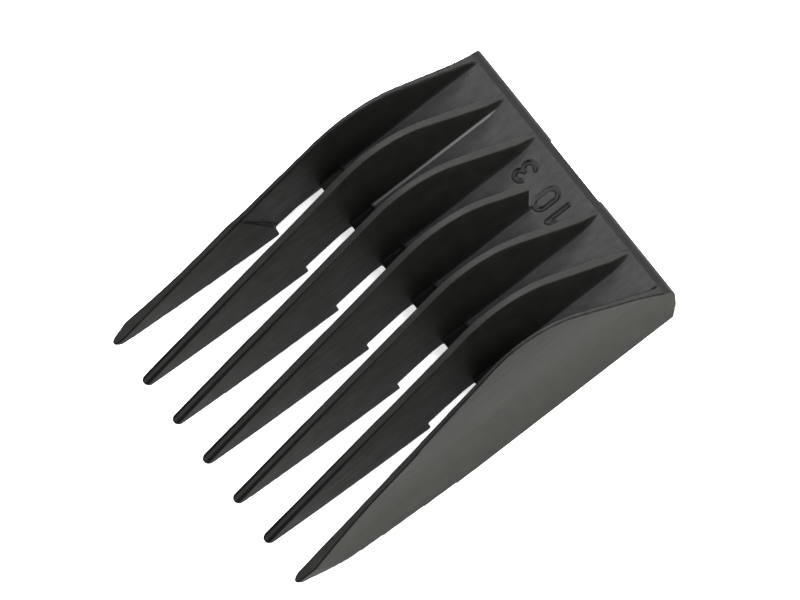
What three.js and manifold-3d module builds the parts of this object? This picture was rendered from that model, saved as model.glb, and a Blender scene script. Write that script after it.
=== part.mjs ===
// A seven-toothed clipper guard comb, lying with its cutting side up.
// Millimetres. +X runs across the teeth, +Y from the tooth tips to the rear edge, +Z up.
// The origin is on the resting plane, under the middle of the comb.

import * as THREE from 'three';
import { mergeVertices } from 'three/addons/utils/BufferGeometryUtils.js';
import Module from 'manifold-3d';

const wasm = await Module();
wasm.setup();

// ---------- driving dimensions ----------

const LENGTH = 68.9;
const TOOTH_COUNT = 7;
const TOOTH_PITCH = 8;
const MIDDLE_TOOTH = 3;

// Side profile of a tooth. Lengths are measured from the tooth tips, heights from the resting plane.
const TIP_TOP = { at: 0.9, z: 2.85 };
const TIP_NOSE = { at: 0, z: 2.45 };
const TIP_BOTTOM = { at: 0.9, z: 1.85 };
const RISE_ANGLE = THREE.MathUtils.degToRad(18.7);
const FALL_ANGLE = THREE.MathUtils.degToRad(37.3);
const CREST = { at: 45.9, z: 17.2, radius: 15.8 };
const SOLE_BELLY = { at: 12, z: 0.7 };
const STEP_AT = 29.3;
const SOLE_END_Z = 0.05;
const STEP_TOP_Z = 1.7;
const BEVEL_END_AT = 36;
const SHORT_TOOTH_END = { top: 61.5, foot: 60.1 };

// Width of a tooth, top and bottom, for the draft of the mould.
const TOOTH_TOP_WIDTH = 1.05;
const TOOTH_SOLE_WIDTH = 1.75;
const TIP_ROUND = 1.1;
const TAIL_TAPER = { start: 63, narrowing: 0.05 };
const BASE_FILLET = 0.35;

// Deck: the plate that joins the teeth behind the blade's teeth.
const DECK_TOP_Z = 4.8;
const SEAT_Z = 3;
const DECK_START = 42.4;
const LIP_START = 38.2;
const LIP_TOP_Z = 4.3;
const REAR_EDGE_RADIUS = 1.6;

// Outer walls: half widths at the heights where the wall bends.
const WALL_TOP = { outer: 23.2, inner: 22.5 };
const WALL_DECK = { outer: 24.5, inner: 23.3 };
const WALL_FOOT = { outer: 26.45, inner: 24.65 };
const WALL_FLARE_TOP_Z = 8;
const WALL_HEEL = { at: 68.2, z: 1.6, foot: 66.8 };
const WALL_TIP = { inner: 23.3, outer: 24.85, round: 1.8, wideAt: 18 };
const POCKET_ROOF_HALF = 23.6;

// From the tips to a slanted shoulder each outer wall grows thicker on its inner side.
const SHOULDER = { thick: 0.55, footZ: 3.4, topAt: 25.8, topZ: 10.8 };

// Channel under the deck, and the spring catch that slides in it.
const CHANNEL = { half: 6.3, start: 43.5, roof: 4 };
const RAIL = { wide: 1, foot: 1.8, lipReach: 1, lipThick: 0.6, start: 44.5, end: 65 };
const SLIDE = { half: 5.95, start: 44.6, bottom: 2.7, thick: 0.7 };
const HOOK = { half: 5, bend: 66.8, foot: 65.6, footZ: 0.3 };
const WINDOW = { half: 1.7, start: 47, end: 62.4 };
const POST = { half: 1.2, start: 57.8, end: 59.2, foot: 1.8 };
const SPRING = { radius: 0.8, wire: 0.32, turns: 9, z: 2.85, clearance: 0.3 };
const PIN = { radius: 0.35, length: 6.5 };

const TINY = 0.01;
const OVERLAP = 1;

// ---------- materials ----------

const nylon = new THREE.MeshStandardMaterial({ color: 0x2b2a2b, roughness: 0.6, metalness: 0 });
const plateSteel = new THREE.MeshStandardMaterial({ color: 0xa9abad, roughness: 0.35, metalness: 1 });
const springSteel = new THREE.MeshStandardMaterial({ color: 0x8f9296, roughness: 0.3, metalness: 1 });

// ---------- small tools ----------

function along(distanceFromTips) {
  return distanceFromTips - LENGTH / 2;
}

function solidOf(geometry) {
  geometry.deleteAttribute('normal');
  geometry.deleteAttribute('uv');
  const merged = mergeVertices(geometry, 1e-4);
  const mesh = new wasm.Mesh({
    numProp: 3,
    vertProperties: new Float32Array(merged.attributes.position.array),
    triVerts: new Uint32Array(merged.index.array),
  });
  return new wasm.Manifold(mesh);
}

function geometryOf(solid) {
  const mesh = solid.getMesh();
  const geometry = new THREE.BufferGeometry();
  geometry.setAttribute('position', new THREE.BufferAttribute(new Float32Array(mesh.vertProperties), 3));
  geometry.setIndex(new THREE.BufferAttribute(new Uint32Array(mesh.triVerts), 1));
  geometry.computeVertexNormals();
  return geometry;
}

function extruded(shape, depth, matrix) {
  const geometry = new THREE.ExtrudeGeometry(shape, { depth, bevelEnabled: false, curveSegments: 14 });
  return solidOf(geometry.applyMatrix4(matrix));
}

// A shape drawn in side view (distance from the tips, height), extruded across the comb.
function sideSolid(shape, xStart, xEnd) {
  const matrix = new THREE.Matrix4().makeBasis(
    new THREE.Vector3(0, 1, 0), new THREE.Vector3(0, 0, 1), new THREE.Vector3(1, 0, 0));
  matrix.setPosition(xStart, along(0), 0);
  return extruded(shape, xEnd - xStart, matrix);
}

// A shape drawn in end view (x, height), extruded along the comb.
function endSolid(shape, start, end) {
  const matrix = new THREE.Matrix4().makeRotationX(Math.PI / 2);
  matrix.setPosition(0, along(end), 0);
  return extruded(shape, end - start, matrix);
}

// A shape drawn in top view (x, distance from the tips), extruded from one height to another.
function planSolid(shape, bottom, top) {
  return extruded(shape, top - bottom, new THREE.Matrix4().makeTranslation(0, along(0), bottom));
}

function polygon(points) {
  return new THREE.Shape(points.map(([u, v]) => new THREE.Vector2(u, v)));
}

function block(xStart, xEnd, start, end, bottom, top) {
  const geometry = new THREE.BoxGeometry(xEnd - xStart, end - start, top - bottom);
  geometry.translate((xStart + xEnd) / 2, along((start + end) / 2), (bottom + top) / 2);
  return solidOf(geometry);
}

function joined(solids) {
  return solids.reduce((sum, solid) => sum.add(solid));
}

function mirroredPair(solid) {
  return solid.add(solid.mirror([1, 0, 0]));
}

// ---------- comb body ----------

// The top line: a straight rise from the tip, the round crest, a straight fall to the deck.
function drawTopLine(shape) {
  const centreZ = CREST.z - CREST.radius;
  const fallStartAt = CREST.at + CREST.radius * Math.sin(FALL_ANGLE);
  const fallStartZ = centreZ + CREST.radius * Math.cos(FALL_ANGLE);
  const deckAt = fallStartAt + (fallStartZ - DECK_TOP_Z) / Math.tan(FALL_ANGLE);
  shape.lineTo(TIP_TOP.at, TIP_TOP.z);
  shape.absarc(CREST.at, centreZ, CREST.radius, Math.PI / 2 + RISE_ANGLE, Math.PI / 2 - FALL_ANGLE, true);
  shape.lineTo(deckAt, DECK_TOP_Z);
}

// The rounded upper edge of the rear, drawn from the deck down to the rear face.
function drawRearEdge(shape) {
  const radius = REAR_EDGE_RADIUS;
  shape.absarc(LENGTH - radius, DECK_TOP_Z - radius, radius, Math.PI / 2, 0, true);
}

// The sole in front of the step, drawn from the step to the tip.
function drawSoleToTip(shape) {
  shape.quadraticCurveTo(SOLE_BELLY.at, SOLE_BELLY.z, TIP_BOTTOM.at, TIP_BOTTOM.z);
  shape.lineTo(TIP_NOSE.at, TIP_NOSE.z);
}

// Side view of an inner tooth: the blade's front edge stops against the step,
// and its bevel lies against the slope behind the step.
function innerToothOutline() {
  const shape = new THREE.Shape();
  shape.moveTo(TIP_NOSE.at, TIP_NOSE.z);
  drawTopLine(shape);
  shape.lineTo(LENGTH - REAR_EDGE_RADIUS, SEAT_Z);
  shape.lineTo(BEVEL_END_AT, SEAT_Z);
  shape.lineTo(STEP_AT, STEP_TOP_Z);
  shape.lineTo(STEP_AT, SOLE_END_Z);
  drawSoleToTip(shape);
  return shape;
}

// Side view of an outer wall: it reaches down past the blade to the resting plane.
function wallOutline() {
  const shape = new THREE.Shape();
  shape.moveTo(TIP_NOSE.at, TIP_NOSE.z);
  drawTopLine(shape);
  drawRearEdge(shape);
  shape.lineTo(WALL_HEEL.at, WALL_HEEL.z);
  shape.lineTo(WALL_HEEL.foot, 0);
  shape.lineTo(STEP_AT + 1, 0);
  shape.lineTo(STEP_AT, SOLE_END_Z);
  drawSoleToTip(shape);
  return shape;
}

// Top view of a tooth: a round tip, and a tail that tapers where the tooth runs out on the deck.
function toothPlan(half) {
  const shape = new THREE.Shape();
  shape.absellipse(0, TIP_ROUND, half, TIP_ROUND, Math.PI, 2 * Math.PI);
  shape.lineTo(half, TAIL_TAPER.start);
  shape.lineTo(half * TAIL_TAPER.narrowing, LENGTH);
  shape.lineTo(-half * TAIL_TAPER.narrowing, LENGTH);
  shape.lineTo(-half, TAIL_TAPER.start);
  return shape;
}

// Half the width of a tooth at a height.
function toothHalfAt(z) {
  return (TOOTH_SOLE_WIDTH + (TOOTH_TOP_WIDTH - TOOTH_SOLE_WIDTH) * z / CREST.z) / 2;
}

function innerTeeth() {
  const soleHalf = toothHalfAt(0);
  const topHalf = toothHalfAt(CREST.z);
  const baseHalf = toothHalfAt(DECK_TOP_Z);
  const side = sideSolid(innerToothOutline(), -soleHalf - BASE_FILLET, soleHalf + BASE_FILLET);
  const section = polygon([[-soleHalf, -TINY], [soleHalf, -TINY], [topHalf, CREST.z + TINY],
    [-topHalf, CREST.z + TINY]]);
  const bar = endSolid(section, -OVERLAP, LENGTH + OVERLAP)
    .intersect(planSolid(toothPlan(soleHalf), -OVERLAP, CREST.z + OVERLAP));
  const fillet = endSolid(polygon([[-baseHalf - BASE_FILLET, DECK_TOP_Z],
    [0, DECK_TOP_Z - BASE_FILLET], [baseHalf + BASE_FILLET, DECK_TOP_Z],
    [baseHalf, DECK_TOP_Z + BASE_FILLET], [-baseHalf, DECK_TOP_Z + BASE_FILLET]]),
  DECK_START, LENGTH)
    .intersect(planSolid(toothPlan(baseHalf + BASE_FILLET), 0, CREST.z));
  const tooth = side.intersect(bar.add(fillet));
  const offTheEnd = polygon([[SHORT_TOOTH_END.foot, DECK_TOP_Z], [LENGTH + OVERLAP, DECK_TOP_Z],
    [LENGTH + OVERLAP, CREST.z], [SHORT_TOOTH_END.top + 2.5, CREST.z]]);
  const shortTooth = tooth.subtract(sideSolid(offTheEnd, -OVERLAP, OVERLAP));
  const teeth = [];
  for (let i = 1; i < TOOTH_COUNT - 1; i += 1) {
    const source = i === MIDDLE_TOOTH ? shortTooth : tooth;
    teeth.push(source.translate([(i - MIDDLE_TOOTH) * TOOTH_PITCH, 0, 0]));
  }
  return joined(teeth);
}

// How far from the middle a wall's straight outer or inner face is at a height.
function wallFaceAt(side, z) {
  const lean = (WALL_TOP[side] - WALL_DECK[side]) / (CREST.z - DECK_TOP_Z);
  return WALL_DECK[side] + lean * (z - DECK_TOP_Z);
}

// End view of a wall: it leans inwards going up, and its outer face flares out to the foot.
function wallSection() {
  const shape = new THREE.Shape();
  shape.moveTo(WALL_DECK.inner, -TINY);
  shape.lineTo(WALL_FOOT.outer, -TINY);
  shape.quadraticCurveTo(WALL_DECK.outer, DECK_TOP_Z, wallFaceAt('outer', WALL_FLARE_TOP_Z),
    WALL_FLARE_TOP_Z);
  shape.lineTo(WALL_TOP.outer, CREST.z + TINY);
  shape.lineTo(WALL_TOP.inner, CREST.z + TINY);
  shape.lineTo(WALL_DECK.inner, DECK_TOP_Z);
  return shape;
}

function outerWalls() {
  const bar = endSolid(wallSection(), -OVERLAP, LENGTH + OVERLAP);
  const fillet = endSolid(polygon([[WALL_DECK.inner - BASE_FILLET, DECK_TOP_Z],
    [WALL_DECK.inner, DECK_TOP_Z - BASE_FILLET], [WALL_DECK.outer, DECK_TOP_Z],
    [WALL_DECK.inner, DECK_TOP_Z + BASE_FILLET]]), DECK_START, LENGTH);
  const wall = sideSolid(wallOutline(), WALL_TOP.inner - OVERLAP, WALL_FOOT.outer + OVERLAP)
    .intersect(joined([bar, fillet, shoulder()]))
    .intersect(planSolid(wallPlan(), -OVERLAP, CREST.z + OVERLAP));
  return mirroredPair(wall).subtract(bladePocket());
}

// Top view of a wall: a narrow round tip, which widens towards the back on its outer side.
function wallPlan() {
  const shape = new THREE.Shape();
  const middle = (WALL_TIP.inner + WALL_TIP.outer) / 2;
  shape.moveTo(WALL_FOOT.outer + OVERLAP, LENGTH + OVERLAP);
  shape.lineTo(WALL_TOP.inner - OVERLAP, LENGTH + OVERLAP);
  shape.lineTo(WALL_TOP.inner - OVERLAP, 2 * WALL_TIP.round);
  shape.absellipse(middle, WALL_TIP.round, WALL_TIP.outer - middle, WALL_TIP.round, Math.PI, 2 * Math.PI);
  shape.quadraticCurveTo(WALL_FOOT.outer, WALL_TIP.wideAt / 2, WALL_FOOT.outer, WALL_TIP.wideAt);
  shape.lineTo(WALL_FOOT.outer + OVERLAP, WALL_TIP.wideAt);
  return shape;
}

// The thicker stretch, swung inwards about the tips, which runs out before it reaches the wall's top.
function shoulder() {
  const swing = SHOULDER.thick / STEP_AT;
  const matrix = new THREE.Matrix4().makeShear(0, 0, -swing, 0, 0, 0);
  matrix.setPosition(swing * along(0), 0, 0);
  const outer = WALL_DECK.outer;
  const section = polygon([[WALL_DECK.inner, -TINY], [outer, -TINY], [outer, SHOULDER.topZ],
    [wallFaceAt('inner', SHOULDER.topZ) + SHOULDER.thick, SHOULDER.topZ]]);
  const front = polygon([[0, -OVERLAP], [STEP_AT, -OVERLAP], [STEP_AT, SHOULDER.footZ],
    [SHOULDER.topAt, SHOULDER.topZ], [0, SHOULDER.topZ]]);
  return endSolid(section, 0, STEP_AT).transform(matrix.elements)
    .intersect(sideSolid(front, 0, WALL_FOOT.outer));
}

// The space between the walls that the blade's plate fills, flared towards its mouth.
function bladePocket() {
  const flare = polygon([[-WALL_FOOT.inner, -TINY], [WALL_FOOT.inner, -TINY],
    [POCKET_ROOF_HALF, SEAT_Z], [-POCKET_ROOF_HALF, SEAT_Z]]);
  const depth = polygon([[STEP_AT, -OVERLAP], [LENGTH + OVERLAP, -OVERLAP], [LENGTH + OVERLAP, SEAT_Z],
    [BEVEL_END_AT, SEAT_Z], [STEP_AT, STEP_TOP_Z]]);
  const half = WALL_FOOT.outer;
  return endSolid(flare, STEP_AT - OVERLAP, LENGTH + OVERLAP).intersect(sideSolid(depth, -half, half));
}

function deck() {
  const outline = new THREE.Shape();
  outline.moveTo(LIP_START, SEAT_Z);
  outline.lineTo(LIP_START, LIP_TOP_Z);
  outline.lineTo(DECK_START, LIP_TOP_Z);
  outline.lineTo(DECK_START, DECK_TOP_Z);
  drawRearEdge(outline);
  outline.lineTo(LENGTH, SEAT_Z);
  return sideSolid(outline, -WALL_DECK.inner - TINY, WALL_DECK.inner + TINY);
}

// Rails with inward lips, which hold the sliding catch up in its channel.
function catchRails() {
  const outer = CHANNEL.half + RAIL.wide;
  const inner = CHANNEL.half;
  const section = polygon([[outer, RAIL.foot], [outer, CHANNEL.roof], [inner, CHANNEL.roof],
    [inner, RAIL.foot + RAIL.lipThick], [inner - RAIL.lipReach, RAIL.foot + RAIL.lipThick],
    [inner - RAIL.lipReach, RAIL.foot]]);
  return mirroredPair(endSolid(section, RAIL.start, RAIL.end));
}

function combBody() {
  const shell = joined([innerTeeth(), outerWalls(), deck()]);
  const channel = block(-CHANNEL.half, CHANNEL.half, CHANNEL.start, LENGTH + OVERLAP,
    SEAT_Z - OVERLAP, CHANNEL.roof);
  const springPost = block(-POST.half, POST.half, POST.start, POST.end, POST.foot, CHANNEL.roof + TINY);
  return shell.subtract(channel).add(catchRails()).add(springPost);
}

// ---------- sliding catch and its spring ----------

// A steel plate with a window for the spring, and a leaning lip that bears on the blade's heel.
function slidingCatch() {
  const top = SLIDE.bottom + SLIDE.thick;
  const plate = block(-SLIDE.half, SLIDE.half, SLIDE.start, RAIL.end, SLIDE.bottom, top);
  const hookOutline = polygon([[RAIL.end - OVERLAP, SLIDE.bottom], [HOOK.bend - SLIDE.thick, SLIDE.bottom],
    [HOOK.foot - SLIDE.thick, HOOK.footZ], [HOOK.foot, HOOK.footZ], [HOOK.bend, SLIDE.bottom],
    [HOOK.bend - SLIDE.thick / 3, top], [RAIL.end - OVERLAP, top]]);
  const hook = sideSolid(hookOutline, -HOOK.half, HOOK.half);
  const window = block(-WINDOW.half, WINDOW.half, WINDOW.start, WINDOW.end,
    SLIDE.bottom - OVERLAP, top + OVERLAP);
  return plate.add(hook).subtract(window);
}

class CoilPath extends THREE.Curve {
  constructor(start, end) {
    super();
    this.start = start;
    this.end = end;
  }

  getPoint(t, target = new THREE.Vector3()) {
    const angle = t * SPRING.turns * 2 * Math.PI;
    const y = along(this.start + t * (this.end - this.start));
    return target.set(SPRING.radius * Math.cos(angle), y, SPRING.z + SPRING.radius * Math.sin(angle));
  }
}

function returnSpring() {
  const inset = SPRING.clearance + SPRING.wire / 2;
  const path = new CoilPath(WINDOW.start + inset, POST.start - inset);
  const section = new THREE.Shape();
  section.absarc(0, 0, SPRING.wire / 2, 0, 2 * Math.PI, false);
  const geometry = new THREE.ExtrudeGeometry(section, {
    steps: SPRING.turns * 12, curveSegments: 3, extrudePath: path,
  });
  return solidOf(geometry);
}

// A steel pin inside the coil, standing forward from the post, keeps the spring straight.
function springPin() {
  const geometry = new THREE.CylinderGeometry(PIN.radius, PIN.radius, PIN.length, 16);
  const middle = POST.start - SPRING.clearance - PIN.length / 2;
  geometry.translate(0, along(middle), SPRING.z);
  return solidOf(geometry);
}

// ---------- assembly ----------

function namedMesh(name, solid, material) {
  const mesh = new THREE.Mesh(geometryOf(solid), material);
  mesh.name = name;
  return mesh;
}

const guardComb = new THREE.Group();
guardComb.add(namedMesh('comb_body', combBody(), nylon));
guardComb.add(namedMesh('sliding_catch', slidingCatch(), plateSteel));
guardComb.add(namedMesh('return_spring', returnSpring(), springSteel));
guardComb.add(namedMesh('spring_pin', springPin(), springSteel));

export default guardComb;
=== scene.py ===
import math

import bmesh
import bpy
from mathutils import Matrix, Vector


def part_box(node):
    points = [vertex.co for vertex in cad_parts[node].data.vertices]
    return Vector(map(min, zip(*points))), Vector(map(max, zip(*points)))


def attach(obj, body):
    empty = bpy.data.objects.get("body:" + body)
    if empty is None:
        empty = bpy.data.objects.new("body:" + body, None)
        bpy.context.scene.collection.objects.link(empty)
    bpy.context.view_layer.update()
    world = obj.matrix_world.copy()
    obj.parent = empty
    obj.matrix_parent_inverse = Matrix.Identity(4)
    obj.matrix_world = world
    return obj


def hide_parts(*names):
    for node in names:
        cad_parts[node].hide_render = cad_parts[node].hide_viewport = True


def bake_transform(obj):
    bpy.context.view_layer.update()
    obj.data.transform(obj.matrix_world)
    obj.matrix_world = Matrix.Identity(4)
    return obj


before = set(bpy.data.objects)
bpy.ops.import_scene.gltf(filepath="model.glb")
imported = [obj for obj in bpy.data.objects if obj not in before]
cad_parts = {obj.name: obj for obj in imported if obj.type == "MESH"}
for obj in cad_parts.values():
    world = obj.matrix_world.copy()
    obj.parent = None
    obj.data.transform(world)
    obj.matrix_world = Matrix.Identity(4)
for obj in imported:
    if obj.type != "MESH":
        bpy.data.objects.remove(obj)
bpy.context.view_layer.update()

MM = 0.001
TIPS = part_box("comb_body")[0].y


def from_tips(distance):
    """The frame's Y of a place given in millimetres behind the tooth tips."""
    return TIPS + distance * MM


# ---------- camera ----------

# The camera looks down at the comb, tilted towards the right wall, and the picture is turned so that
# the teeth point down to the left.
LOOK_AT = Vector((0.84 * MM, from_tips(36.99), 7.0 * MM))
CAMERA_TILT = math.radians(25.44)
CAMERA_SWING = math.radians(-2.675)
PICTURE_TURN = math.radians(37.63)
CAMERA_DISTANCE = 1.3065
LENS_MM = 405.3


def make_camera():
    back = Vector((math.sin(CAMERA_TILT) * math.cos(CAMERA_SWING),
                   math.sin(CAMERA_TILT) * math.sin(CAMERA_SWING),
                   math.cos(CAMERA_TILT)))
    along_teeth = Vector((0, 1, 0))
    level = (along_teeth - back * back.dot(along_teeth)).normalized()
    side = back.cross(level)
    right = level * math.cos(PICTURE_TURN) - side * math.sin(PICTURE_TURN)
    up = back.cross(right)
    data = bpy.data.cameras.new("camera")
    data.lens = LENS_MM
    data.sensor_width = 36
    data.clip_start = 0.01
    data.clip_end = 20
    camera = bpy.data.objects.new("camera", data)
    camera.matrix_world = Matrix((right, up, back)).transposed().to_4x4()
    camera.location = LOOK_AT + back * CAMERA_DISTANCE
    bpy.context.collection.objects.link(camera)
    bpy.context.scene.camera = camera


make_camera()


# ---------- making pieces ----------

def new_piece(name, mesh):
    piece = bpy.data.objects.new(name, mesh)
    bpy.context.collection.objects.link(piece)
    return piece


def mesh_from(made, name):
    mesh = bpy.data.meshes.new(name)
    made.to_mesh(mesh)
    made.free()
    return mesh


def add_modifier(piece, kind, **settings):
    modifier = piece.modifiers.new(kind.lower(), kind)
    for key, value in settings.items():
        setattr(modifier, key, value)


def apply_modifiers(piece):
    """Replaces a piece's mesh by what its modifiers make of it, and shades it smooth."""
    graph = bpy.context.evaluated_depsgraph_get()
    mesh = bpy.data.meshes.new_from_object(piece.evaluated_get(graph))
    piece.modifiers.clear()
    piece.data = mesh
    mesh.shade_smooth()


def install(piece, material, node, body):
    """Gives a piece its material, and puts it in the place of a CAD node on a body."""
    piece.data.materials.clear()
    piece.data.materials.append(material)
    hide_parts(node)
    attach(piece, body)


# ---------- moulded body ----------

VOXEL = 0.13 * MM
SOFTENING_STEPS = 8
KEPT_FACES = 0.14
DECK_TOP = 4.8 * MM
ENGRAVING_DEPTH = 0.3 * MM
STROKE = 0.6 * MM
POST_SIDES = 20

# Size numbers, drawn as strokes on a grid that is 2 wide and 4 high.
DIGIT_STROKES = {
    "0": [[(0, 1), (0, 3), (0.15, 3.5), (0.5, 3.87), (1, 4), (1.5, 3.87), (1.85, 3.5), (2, 3),
           (2, 1), (1.85, 0.5), (1.5, 0.13), (1, 0), (0.5, 0.13), (0.15, 0.5), (0, 1)]],
    "1": [[(0.3, 3.1), (1.2, 4), (1.2, 0)]],
    "3": [[(0, 3.4), (0.4, 3.87), (1, 4), (1.55, 3.85), (1.9, 3.4), (1.9, 2.75), (1.55, 2.25), (1, 2.1)],
          [(1, 2.1), (1.6, 1.93), (2, 1.45), (2, 0.7), (1.6, 0.15), (1, 0), (0.4, 0.12), (0, 0.5)]],
}
DIGIT_HEIGHT = 4
DIGIT_ADVANCE = 3.1

# What is cut into the deck: the number, the X of its first digit's left side, the Y of its foot, and its
# height.
NUMBERS = (
    ("10", 5.4 * MM, from_tips(64.8), 4.1 * MM),
    ("3", -3.5 * MM, from_tips(64.6), 3.5 * MM),
)


def stroke_cutter(points):
    """Closed prisms along a stroke: a box for each stretch and a round post at each point."""
    made = bmesh.new()
    low = DECK_TOP - ENGRAVING_DEPTH
    high = DECK_TOP + 1 * MM
    lift = Vector((0, 0, (low + high) / 2))
    for start, end in zip(points, points[1:]):
        run = end - start
        place = Matrix.Translation(((start + end) / 2).to_3d() + lift)
        turn = Matrix.Rotation(math.atan2(run.y, run.x), 4, "Z")
        size = Matrix.Diagonal((run.length, STROKE, high - low, 1))
        bmesh.ops.create_cube(made, size=1, matrix=place @ turn @ size)
    for point in points:
        bmesh.ops.create_cone(made, cap_ends=True, segments=POST_SIDES, radius1=STROKE / 2,
                              radius2=STROKE / 2, depth=high - low,
                              matrix=Matrix.Translation(point.to_3d() + lift))
    cutter = new_piece("cutter", mesh_from(made, "cutter"))
    add_modifier(cutter, "REMESH", mode="VOXEL", voxel_size=STROKE / 8)
    return cutter


def engraving(text, x_start, y_foot, height):
    """Cutters for a number whose top points to the tips and whose line runs towards -X."""
    cutters = []
    scale = height / DIGIT_HEIGHT
    x = x_start
    for digit in text:
        for stroke in DIGIT_STROKES[digit]:
            points = [Vector((x - u * scale, y_foot - v * scale)) for u, v in stroke]
            cutters.append(stroke_cutter(points))
        x -= scale * DIGIT_ADVANCE
    return cutters


def moulded_body():
    """The CAD shape with its numbers cut in and every edge softened, as a mould leaves it."""
    piece = new_piece("comb_moulding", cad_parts["comb_body"].data.copy())
    cutters = [cutter for number in NUMBERS for cutter in engraving(*number)]
    for cutter in cutters:
        add_modifier(piece, "BOOLEAN", operation="DIFFERENCE", solver="EXACT", object=cutter)
    add_modifier(piece, "REMESH", mode="VOXEL", voxel_size=VOXEL)
    add_modifier(piece, "SMOOTH", factor=0.5, iterations=SOFTENING_STEPS)
    add_modifier(piece, "DECIMATE", ratio=KEPT_FACES)
    apply_modifiers(piece)
    for cutter in cutters:
        bpy.data.objects.remove(cutter)
    return piece


# ---------- catch, spring and pin ----------

SHEET_EDGE = 0.14 * MM
FLAT_ANGLE = math.radians(2)
SHARP_ANGLE = math.radians(25)
COIL_TURNS = 9
DEAD_TURNS = 0.75
COIL_WIRE = 0.32 * MM
STEPS_PER_TURN = 40
WIRE_SIDES = 14
PIN_SIDES = 40
PIN_DOME_STEPS = 6
PIN_SUNK = 0.8 * MM


def stamped_catch():
    """The CAD plate with its flat faces made whole and its cut edges tumbled round."""
    made = bmesh.new()
    made.from_mesh(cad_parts["sliding_catch"].data)
    bmesh.ops.dissolve_limit(made, angle_limit=FLAT_ANGLE, verts=made.verts, edges=made.edges)
    piece = new_piece("catch_plate", mesh_from(made, "catch_plate"))
    add_modifier(piece, "BEVEL", width=SHEET_EDGE, segments=4, limit_method="ANGLE",
                 angle_limit=SHARP_ANGLE, harden_normals=True, use_clamp_overlap=True)
    apply_modifiers(piece)
    return piece


def skin_rings(made, rings):
    """Faces between rings of vertices, with a flat end on the first and the last."""
    for before, after in zip(rings, rings[1:]):
        count = len(before)
        for i in range(count):
            j = (i + 1) % count
            made.faces.new((before[i], before[j], after[j], after[i]))
    made.faces.new(tuple(reversed(rings[0])))
    made.faces.new(tuple(rings[-1]))
    bmesh.ops.recalc_face_normals(made, faces=made.faces)


def coil_point(turn, radius, middle, start, end):
    """A place on the coil's middle line: the pitch is close over the dead turns at both ends."""
    live = COIL_TURNS - 2 * DEAD_TURNS
    close = COIL_WIRE * 1.05
    slack = (end - start) - close * 2 * DEAD_TURNS
    y = start + close * min(turn, DEAD_TURNS)
    y += slack * min(max(turn - DEAD_TURNS, 0), live) / live
    y += close * max(turn - DEAD_TURNS - live, 0)
    angle = turn * 2 * math.pi
    return Vector((radius * math.cos(angle), y, middle + radius * math.sin(angle)))


def coil_spring():
    low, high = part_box("return_spring")
    radius = (high.x - low.x - COIL_WIRE) / 2
    middle = (low.z + high.z) / 2
    start = low.y + COIL_WIRE / 2
    end = high.y - COIL_WIRE / 2
    made = bmesh.new()
    rings = []
    steps = COIL_TURNS * STEPS_PER_TURN
    for step in range(steps + 1):
        turn = step / STEPS_PER_TURN
        here = coil_point(turn, radius, middle, start, end)
        out = Vector((math.cos(turn * 2 * math.pi), 0, math.sin(turn * 2 * math.pi)))
        ahead = coil_point(turn + 0.001, radius, middle, start, end)
        across = (ahead - here).normalized().cross(out).normalized()
        ring = []
        for side in range(WIRE_SIDES):
            angle = side * 2 * math.pi / WIRE_SIDES
            outwards = out * math.cos(angle) + across * math.sin(angle)
            ring.append(made.verts.new(here + outwards * COIL_WIRE / 2))
        rings.append(ring)
    skin_rings(made, rings)
    piece = new_piece("coil_spring", mesh_from(made, "coil_spring"))
    piece.data.shade_smooth()
    return piece, start, end


def guide_pin():
    """A drawn pin with a domed front end; its rear end is sunk in the post."""
    low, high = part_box("spring_pin")
    radius = (high.x - low.x) / 2
    middle = (low.z + high.z) / 2
    profile = []
    for step in range(PIN_DOME_STEPS + 1):
        angle = math.pi / 2 * step / PIN_DOME_STEPS
        profile.append((low.y + radius * (1 - math.cos(angle)), radius * max(math.sin(angle), 0.05)))
    profile.append((high.y + PIN_SUNK, radius))
    made = bmesh.new()
    rings = []
    for y, size in profile:
        ring = []
        for side in range(PIN_SIDES):
            angle = side * 2 * math.pi / PIN_SIDES
            ring.append(made.verts.new((size * math.cos(angle), y, middle + size * math.sin(angle))))
        rings.append(ring)
    skin_rings(made, rings)
    piece = new_piece("guide_pin", mesh_from(made, "guide_pin"))
    piece.data.shade_smooth()
    return piece


# ---------- materials ----------

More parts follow.
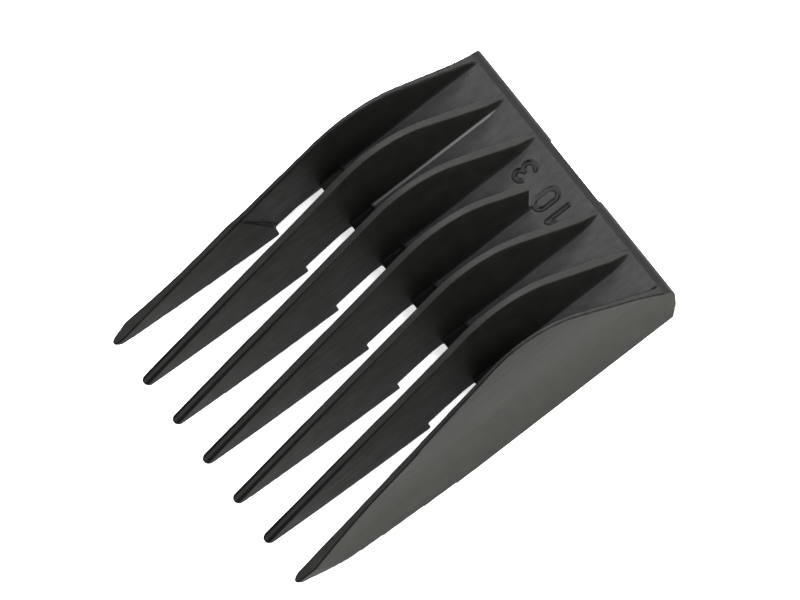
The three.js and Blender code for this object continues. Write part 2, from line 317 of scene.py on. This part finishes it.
class Recipe:
    """A node material with a Principled shader, and short calls for the nodes that feed it."""

    def __init__(self, name, roughness, metallic=0, specular=0.5):
        self.material = bpy.data.materials.new(name)
        self.material.use_nodes = True
        self.tree = self.material.node_tree
        self.shader = self.tree.nodes["Principled BSDF"]
        self.shader.inputs["Roughness"].default_value = roughness
        self.shader.inputs["Metallic"].default_value = metallic
        self.shader.inputs["Specular IOR Level"].default_value = specular
        self.place = self.tree.nodes.new("ShaderNodeTexCoord").outputs["Object"]
        self.geometry = self.tree.nodes.new("ShaderNodeNewGeometry")

    def feed(self, socket, value):
        if isinstance(value, bpy.types.NodeSocket):
            self.tree.links.new(value, socket)
        else:
            socket.default_value = value

    def set(self, name, value):
        self.feed(self.shader.inputs[name], value)

    def part_of(self, vector, axis):
        split = self.tree.nodes.new("ShaderNodeSeparateXYZ")
        self.feed(split.inputs[0], vector)
        return split.outputs[axis]

    def noise(self, size, stretch=(1, 1, 1), detail=3):
        """Noise from 0 to 1, whose blotches are about size metres across before they are stretched."""
        scaled = self.tree.nodes.new("ShaderNodeVectorMath")
        scaled.operation = "MULTIPLY"
        self.feed(scaled.inputs[0], self.place)
        scaled.inputs[1].default_value = [1 / (size * amount) for amount in stretch]
        texture = self.tree.nodes.new("ShaderNodeTexNoise")
        texture.inputs["Scale"].default_value = 1
        texture.inputs["Detail"].default_value = detail
        self.feed(texture.inputs["Vector"], scaled.outputs[0])
        return texture.outputs["Fac"]

    def span(self, value, low, high, to_low=0.0, to_high=1.0):
        """Maps low..high of a value to to_low..to_high, smoothly, and holds it there outside."""
        ramp = self.tree.nodes.new("ShaderNodeMapRange")
        ramp.interpolation_type = "SMOOTHSTEP"
        self.feed(ramp.inputs["Value"], value)
        self.feed(ramp.inputs["From Min"], low)
        self.feed(ramp.inputs["From Max"], high)
        self.feed(ramp.inputs["To Min"], to_low)
        self.feed(ramp.inputs["To Max"], to_high)
        return ramp.outputs["Result"]

    def math(self, operation, first, second):
        node = self.tree.nodes.new("ShaderNodeMath")
        node.operation = operation
        self.feed(node.inputs[0], first)
        self.feed(node.inputs[1], second)
        return node.outputs[0]

    def all_of(self, first, *others):
        """The product of masks, which is 1 only where all of them are 1."""
        for other in others:
            first = self.math("MULTIPLY", first, other)
        return first

    def blend_color(self, amount, first, second):
        node = self.tree.nodes.new("ShaderNodeMix")
        node.data_type = "RGBA"
        self.feed(node.inputs["Factor"], amount)
        self.feed(node.inputs["A"], first)
        self.feed(node.inputs["B"], second)
        return node.outputs["Result"]

    def bump(self, height, depth, strength=1.0):
        node = self.tree.nodes.new("ShaderNodeBump")
        node.inputs["Distance"].default_value = depth
        self.feed(node.inputs["Strength"], strength)
        self.feed(node.inputs["Height"], height)
        self.set("Normal", node.outputs["Normal"])


def rgba(red, green, blue):
    return (red, green, blue, 1)


# Soft borders of the places on the moulding that look different: where a measure starts to count, and
# where it counts in full. Directions are parts of the surface's normal, the rest is in metres.
FACES_UP = (0.9, 0.985)
FACES_RATHER_UP = (0.35, 0.6)
FACES_TIPS = (-0.3, -0.7)
LEANS_RIGHT = (0.15, 0.45)
LEAN_SQUARED = (0.03, 0.002)
DOWN_AT_DECK = (5.3 * MM, 4.95 * MM)
ABOVE_ENGRAVING = (4.55 * MM, 4.72 * MM)
BEHIND_LIP = (from_tips(42.2), from_tips(42.6))
BEHIND_STEP = (from_tips(42), from_tips(42.2))
BEHIND_DECK = (from_tips(67.3), from_tips(67.8))
TIP_TO_CREST = (from_tips(2), from_tips(44))
ON_WALLS = (19.9 * MM, 20.1 * MM)
WALLS_OUTSIDE = (17.5 * MM, 21.5 * MM)
WALLS_INSIDE = (-17.5 * MM, -20 * MM)
BELOW_WALL_TOP = (17.5 * MM, 8 * MM)
BELOW_SHOULDER_TOP = (11.4 * MM, 10.4 * MM)

TOOTH_PITCH = 8 * MM
# The painted highlight along the middle of a tooth's top, from half its width at the tip to beyond its
# edge at the crest.
HIGHLIGHT_HALF_WIDTHS = (0.25 * MM, 0.6 * MM)
HIGHLIGHT_EDGE = (0.1 * MM, -0.05 * MM)
# The painted highlight along the fillet at the right foot of the second tooth.
FILLET_HIGHLIGHT_X = -14.95 * MM
FILLET_HIGHLIGHT_EDGE = (0.25 * MM, 0.1 * MM)
# The crease at the end of a wall's thicker stretch, in side view: a point on it, and the direction across.
CREASE_FOOT = Vector((from_tips(29.3), 3.4 * MM))
CREASE_ACROSS = Vector((0.904, 0.427))
CREASE_EDGE = (0.4 * MM, 0.15 * MM)


def moulding_zones(nylon):
    """Masks for the places on the moulding that look different, by name."""
    across, behind, height = (nylon.part_of(nylon.place, axis) for axis in "XYZ")
    lean, fall, rise = (nylon.part_of(nylon.geometry.outputs["Normal"], axis) for axis in "XYZ")
    outwards = nylon.math("MULTIPLY", across, lean)
    at_deck = nylon.span(height, *DOWN_AT_DECK)
    behind_lip = nylon.span(behind, *BEHIND_LIP)
    engraving = nylon.span(height, *ABOVE_ENGRAVING, 0.55, 1)

    # Where the painted highlight runs along the middle of the tooth tops and the wall tops.
    from_middle = nylon.math("PINGPONG", across, TOOTH_PITCH / 2)
    half_width = nylon.span(behind, *TIP_TO_CREST, *HIGHLIGHT_HALF_WIDTHS)
    past_middle = nylon.math("SUBTRACT", from_middle, half_width)
    tooth_top_highlight = nylon.span(past_middle, *HIGHLIGHT_EDGE)
    wall_top_highlight = nylon.span(nylon.math("MULTIPLY", lean, lean), *LEAN_SQUARED)
    from_fillet_highlight = nylon.math("ABSOLUTE", nylon.math("SUBTRACT", across, FILLET_HIGHLIGHT_X), 0)

    back = nylon.math("MULTIPLY", nylon.math("SUBTRACT", behind, CREASE_FOOT[0]), CREASE_ACROSS[0])
    up = nylon.math("MULTIPLY", nylon.math("SUBTRACT", height, CREASE_FOOT[1]), CREASE_ACROSS[1])
    from_crease = nylon.math("ABSOLUTE", nylon.math("ADD", back, up), 0)
    return {
        "deck": nylon.all_of(nylon.span(rise, *FACES_UP), at_deck, behind_lip, engraving),
        # The step's front face, which gets painted light.
        "step": nylon.all_of(nylon.span(fall, *FACES_TIPS), at_deck, nylon.span(behind, *BEHIND_STEP)),
        "rim": nylon.span(behind, *BEHIND_DECK),
        "top": nylon.span(rise, *FACES_RATHER_UP),
        # Painted highlight: the middle of the tooth and wall tops.
        "middle": nylon.span(nylon.math("ABSOLUTE", across, 0), *ON_WALLS, tooth_top_highlight, wall_top_highlight),
        # Outer walls: where the painted light goes, fuller towards the foot.
        "painted_light_walls": nylon.all_of(nylon.span(outwards, *WALLS_OUTSIDE),
                                nylon.span(height, *BELOW_WALL_TOP, 0.45, 1)),
        # Painted highlight along the fillet at the second tooth's right foot.
        "painted_fillet_highlight": nylon.all_of(nylon.span(from_fillet_highlight, *FILLET_HIGHLIGHT_EDGE), nylon.span(lean, *LEANS_RIGHT),
                              behind_lip, at_deck),
        # Painted shade along the crease on the walls' inner faces.
        "painted_crease_shade": nylon.all_of(nylon.span(from_crease, *CREASE_EDGE),
                               nylon.span(height, *BELOW_SHOULDER_TOP),
                               nylon.span(outwards, *WALLS_INSIDE)),
    }


def nylon_material():
    """Black glass-filled nylon: satin teeth and a grained deck, with painted light on the tops, outer
    walls, step, fillet and crease.
    """
    nylon = Recipe("black_nylon", roughness=0.4, specular=0.1)
    zones = moulding_zones(nylon)
    cloud = nylon.noise(2.5 * MM, detail=6)
    grain = nylon.noise(0.22 * MM, detail=2)
    flow = nylon.noise(0.5 * MM, stretch=(1, 12, 1))
    sheen = nylon.noise(0.9 * MM, stretch=(1, 3, 1), detail=4)
    worn = nylon.span(nylon.geometry.outputs["Pointiness"], 0.53, 0.6)
    mottled = nylon.math("ADD", nylon.math("MULTIPLY", grain, 0.5), nylon.math("MULTIPLY", sheen, 0.5))

    plain = nylon.blend_color(cloud, rgba(0.004, 0.004, 0.0035), rgba(0.0115, 0.0113, 0.01))
    # The tops: a painted highlight along their middle and painted shade along their edges.
    painted_top_highlight = nylon.blend_color(cloud, rgba(0.009, 0.009, 0.0083), rgba(0.017, 0.0168, 0.0155))
    top_highlight_and_shade = nylon.blend_color(zones["middle"], rgba(0.0015, 0.0015, 0.0014), painted_top_highlight)
    speckle = nylon.blend_color(mottled, rgba(0.004, 0.004, 0.004), rgba(0.036, 0.036, 0.036))
    # Outer walls: painted light, a lighter gray than the teeth.
    painted_wall_light = nylon.blend_color(cloud, rgba(0.0165, 0.0161, 0.014), rgba(0.0335, 0.0329, 0.0297))
    color = nylon.blend_color(zones["top"], plain, top_highlight_and_shade)
    color = nylon.blend_color(zones["deck"], color, speckle)
    color = nylon.blend_color(zones["rim"], color, rgba(0.006, 0.006, 0.0058))
    color = nylon.blend_color(zones["painted_light_walls"], color, painted_wall_light)
    # Painted light on the step's front face, which lies in shade.
    color = nylon.blend_color(zones["step"], color, rgba(0.06, 0.06, 0.06))
    # Painted highlight along the fillet at the second tooth's right foot.
    color = nylon.blend_color(zones["painted_fillet_highlight"], color, rgba(0.08, 0.08, 0.078))
    # Painted shade along the crease on the walls' inner faces.
    color = nylon.blend_color(zones["painted_crease_shade"], color, rgba(0.0005, 0.0005, 0.0005))
    rubbed = nylon.math("MULTIPLY", worn, 0.15)
    nylon.set("Base Color", nylon.blend_color(rubbed, color, rgba(0.02, 0.0195, 0.019)))

    satin = nylon.span(nylon.math("ADD", flow, cloud), 0.7, 1.3, 0.52, 0.64)
    dull = nylon.math("MAXIMUM", zones["deck"], zones["painted_crease_shade"])
    nylon.set("Roughness", nylon.span(dull, 0, 1, satin, 0.7))
    nylon.bump(grain, 0.03 * MM, nylon.span(zones["deck"], 0, 1, 0.3, 0.9))
    return nylon.material


def plate_steel_material():
    """Stamped spring-steel sheet, brushed along its length before it was tumbled."""
    steel = Recipe("plate_steel", roughness=0.32, metallic=1)
    brushing = steel.noise(0.06 * MM, stretch=(1, 40, 1))
    stain = steel.noise(3 * MM, detail=5)
    worn = steel.span(steel.geometry.outputs["Pointiness"], 0.52, 0.6)
    metal = steel.blend_color(stain, rgba(0.46, 0.46, 0.47), rgba(0.6, 0.6, 0.6))
    steel.set("Base Color", steel.blend_color(worn, metal, rgba(0.72, 0.72, 0.71)))
    steel.set("Roughness", steel.span(brushing, 0.3, 0.7, 0.24, 0.42))
    steel.bump(brushing, 0.004 * MM, 0.5)
    return steel.material


def spring_steel_material():
    """Drawn wire: darker than the sheet, with faint die lines."""
    steel = Recipe("spring_steel", roughness=0.28, metallic=1)
    lines = steel.noise(0.05 * MM, stretch=(4, 1, 4))
    stain = steel.noise(1.2 * MM, detail=4)
    steel.set("Base Color", steel.blend_color(stain, rgba(0.33, 0.34, 0.36), rgba(0.5, 0.51, 0.52)))
    steel.set("Roughness", steel.span(lines, 0.3, 0.7, 0.2, 0.36))
    steel.bump(lines, 0.002 * MM, 0.4)
    return steel.material


spring_steel = spring_steel_material()
install(moulded_body(), nylon_material(), "comb_body", "comb")
install(stamped_catch(), plate_steel_material(), "sliding_catch", "catch")
install(guide_pin(), spring_steel, "spring_pin", "comb")

spring, spring_front, spring_rear = coil_spring()
spring.data.materials.append(spring_steel)
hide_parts("return_spring")
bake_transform(spring)


# ---------- floor, light and surroundings ----------

FLOOR_SIZE = 6
FLOOR_GLOW = 0.7
FLOOR_GAP = 0.02 * MM
SURROUNDINGS_GRAY = 0.2

# Soft boxes: name, place, side and power in watts.
LIGHTS = (
    ("left_box", (-0.6, 0.5, 0.9), 0.6, 20),
    ("right_box", (0.6, 0.5, 0.9), 0.6, 26),
    ("rear_box", (0, 0.7, 0.8), 0.5, 10),
)


def make_floor():
    bpy.ops.mesh.primitive_plane_add(size=FLOOR_SIZE, location=(0, 0, -FLOOR_GAP))
    floor = bpy.context.object
    floor.name = "floor"
    white = Recipe("floor_white", roughness=0.9)
    white.set("Base Color", rgba(0.85, 0.85, 0.85))
    white.set("Emission Color", rgba(1, 1, 1))
    white.set("Emission Strength", FLOOR_GLOW)
    floor.data.materials.append(white.material)


def make_light(name, place, side, power):
    """A square soft box that faces the comb."""
    data = bpy.data.lights.new(name, "AREA")
    data.shape = "SQUARE"
    data.size = side
    data.energy = power
    light = bpy.data.objects.new(name, data)
    light.location = place
    light.rotation_euler = (-Vector(place)).to_track_quat("-Z", "Y").to_euler()
    bpy.context.collection.objects.link(light)


def make_surroundings(gray):
    world = bpy.data.worlds.new("studio")
    world.use_nodes = True
    background = world.node_tree.nodes["Background"]
    background.inputs["Color"].default_value = rgba(gray, gray, gray)
    bpy.context.scene.world = world


make_floor()
for light in LIGHTS:
    make_light(*light)
make_surroundings(SURROUNDINGS_GRAY)
bpy.context.scene.view_settings.view_transform = "Standard"
